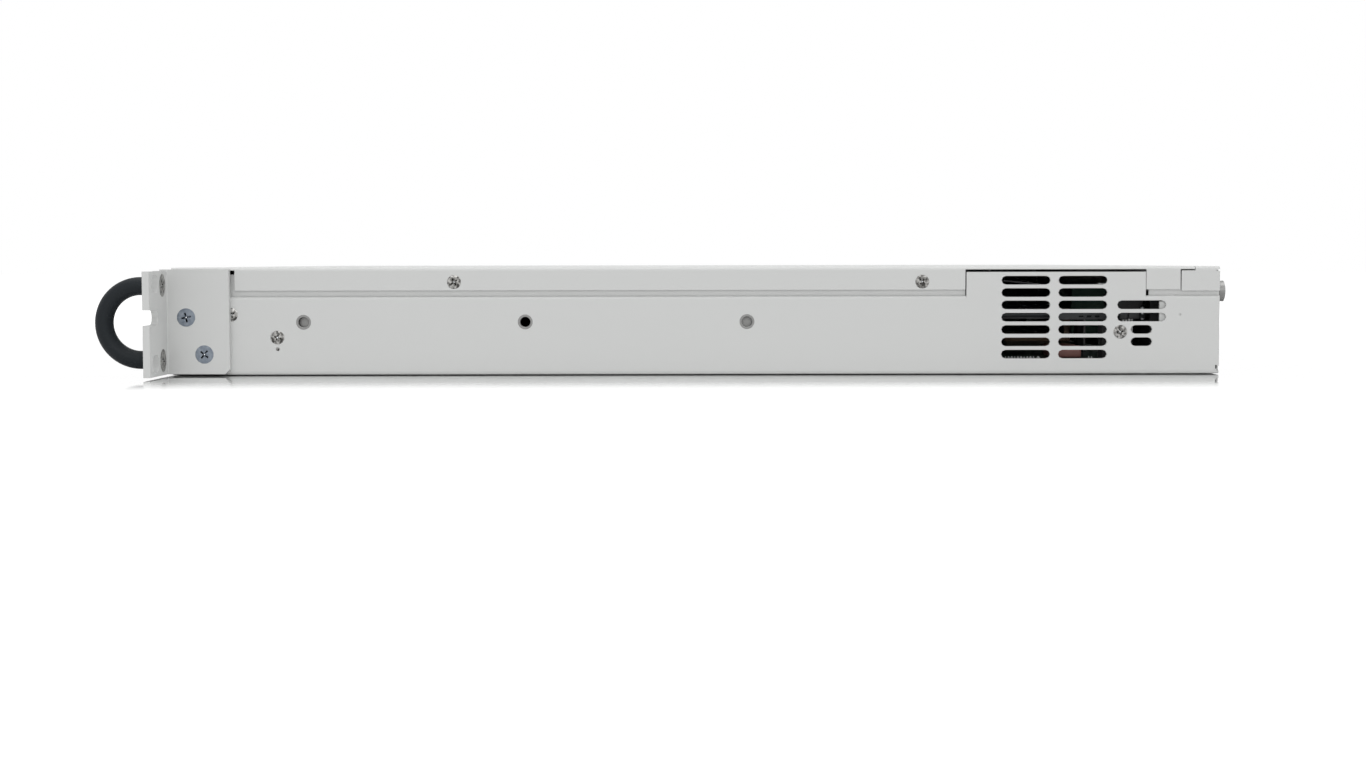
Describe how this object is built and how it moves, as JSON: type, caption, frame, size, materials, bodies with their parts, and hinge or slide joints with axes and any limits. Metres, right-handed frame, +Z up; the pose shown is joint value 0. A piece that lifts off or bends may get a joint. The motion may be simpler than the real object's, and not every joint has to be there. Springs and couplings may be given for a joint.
{
  "type": "dc power supply",
  "caption": "Rack-mounted direct-current power supply in a low folded steel case with bow handles, front knobs and displays and rear terminals.",
  "frame": {"origin": "centre of the flat underside, half way along the depth of the case", "axes": "+Z up, the front faces -Y, X runs across the rack"},
  "size_m": [0.4826, 0.4572, 0.0436],
  "materials": {
    "case_paint": "fine textured light grey powder paint",
    "front_plastic": "satin light grey moulding",
    "handle_coat": "satin dark grey coating",
    "zinc_screw": "bright zinc plate",
    "black_plastic": "matt black",
    "rocker_plastic": "glossy black",
    "knob_plastic": "matt dark grey",
    "window_tint": "dark tinted acrylic",
    "display_face": "glossy dark face",
    "circuit_board": "green solder resist",
    "post_metal": "nickel plate",
    "button_plastic": "matt mid grey",
    "lamp_lens": "clear green",
    "heatsink_metal": "plain extruded aluminium",
    "device_plastic": "matt black moulding",
    "ferrite": "matt dark grey ferrite",
    "winding": "yellow tape over copper",
    "can_sleeve": "dark blue sleeve",
    "film_case": "reddish-brown case",
    "terminal_plastic": "dark green moulding",
    "bus_copper": "tinned copper"
  },
  "bodies": {
    "enclosure": {"chassis": "case_paint", "top_cover": "case_paint", "rear_top_rail": "case_paint", "rear_panel": "case_paint", "front_subpanel": "case_paint", "front_panel": "front_plastic", "rack_ear_right": "case_paint", "rack_ear_left": "case_paint", "handles": "handle_coat", "handle_screws": "zinc_screw", "bracket_screws": "zinc_screw", "slide_nuts_right": "zinc_screw", "slide_nuts_left": "zinc_screw", "cover_screws": "zinc_screw", "side_screws": "zinc_screw", "switch_body": "black_plastic", "encoders": "black_plastic", "display_window": "window_tint", "digit_displays": "display_face", "display_board": "circuit_board", "display_spacers": "post_metal", "key_switches": "black_plastic", "status_lamps": "lamp_lens", "fan_frames": "black_plastic", "main_board": "circuit_board", "board_standoffs": "post_metal", "heatsink_front_right": "heatsink_metal", "heatsink_rear_right": "heatsink_metal", "heatsink_front_left": "heatsink_metal", "heatsink_rear_left": "heatsink_metal", "output_heatsink": "heatsink_metal", "power_devices": "device_plastic", "transformer_core": "ferrite", "transformer_winding": "winding", "output_inductor": "winding", "filter_choke": "ferrite", "bulk_capacitors": "can_sleeve", "film_capacitor": "film_case", "filter_board": "circuit_board", "filter_board_posts": "post_metal", "mains_inlet": "black_plastic", "inlet_pins": "post_metal", "output_terminals": "terminal_plastic", "output_bars": "bus_copper", "sense_connector": "terminal_plastic", "analog_connector": "post_metal", "network_socket": "post_metal", "ground_screw": "zinc_screw"},
    "rocker": {"power_rocker": "rocker_plastic"},
    "volt_dial": {"volt_knob": "knob_plastic"},
    "amp_dial": {"amp_knob": "knob_plastic"},
    "button_1": {"push_button_1": "button_plastic"},
    "button_2": {"push_button_2": "button_plastic"},
    "button_3": {"push_button_3": "button_plastic"},
    "button_4": {"push_button_4": "button_plastic"},
    "button_5": {"push_button_5": "button_plastic"},
    "button_6": {"push_button_6": "button_plastic"},
    "impeller_1": {"fan_impeller_1": "black_plastic"},
    "impeller_2": {"fan_impeller_2": "black_plastic"},
    "impeller_3": {"fan_impeller_3": "black_plastic"}
  },
  "joints": [
    {"name": "rocker_tilt", "type": "hinge", "parent": "enclosure", "child": "rocker", "pos_m": [-0.19, -0.2104, 0.0218], "axis": [1, 0, 0], "range_deg": [0, 16]},
    {"name": "volt_turn", "type": "hinge", "parent": "enclosure", "child": "volt_dial", "pos_m": [-0.158, -0.2164, 0.0218], "axis": [0, 1, 0], "continuous": true},
    {"name": "amp_turn", "type": "hinge", "parent": "enclosure", "child": "amp_dial", "pos_m": [-0.008, -0.2164, 0.0218], "axis": [0, 1, 0], "continuous": true},
    {"name": "button_1_press", "type": "slide", "parent": "enclosure", "child": "button_1", "axis": [0, 1, 0], "range_m": [0, 0.001], "stiffness_N_per_m": 400},
    {"name": "button_2_press", "type": "slide", "parent": "enclosure", "child": "button_2", "axis": [0, 1, 0], "range_m": [0, 0.001], "stiffness_N_per_m": 400},
    {"name": "button_3_press", "type": "slide", "parent": "enclosure", "child": "button_3", "axis": [0, 1, 0], "range_m": [0, 0.001], "stiffness_N_per_m": 400},
    {"name": "button_4_press", "type": "slide", "parent": "enclosure", "child": "button_4", "axis": [0, 1, 0], "range_m": [0, 0.001], "stiffness_N_per_m": 400},
    {"name": "button_5_press", "type": "slide", "parent": "enclosure", "child": "button_5", "axis": [0, 1, 0], "range_m": [0, 0.001], "stiffness_N_per_m": 400},
    {"name": "button_6_press", "type": "slide", "parent": "enclosure", "child": "button_6", "axis": [0, 1, 0], "range_m": [0, 0.001], "stiffness_N_per_m": 400},
    {"name": "fan_1_spin", "type": "hinge", "parent": "enclosure", "child": "impeller_1", "pos_m": [0.084, -0.2075, 0.0214], "axis": [0, 1, 0], "continuous": true},
    {"name": "fan_2_spin", "type": "hinge", "parent": "enclosure", "child": "impeller_2", "pos_m": [0.128, -0.2075, 0.0214], "axis": [0, 1, 0], "continuous": true},
    {"name": "fan_3_spin", "type": "hinge", "parent": "enclosure", "child": "impeller_3", "pos_m": [0.172, -0.2075, 0.0214], "axis": [0, 1, 0], "continuous": true}
  ]
}
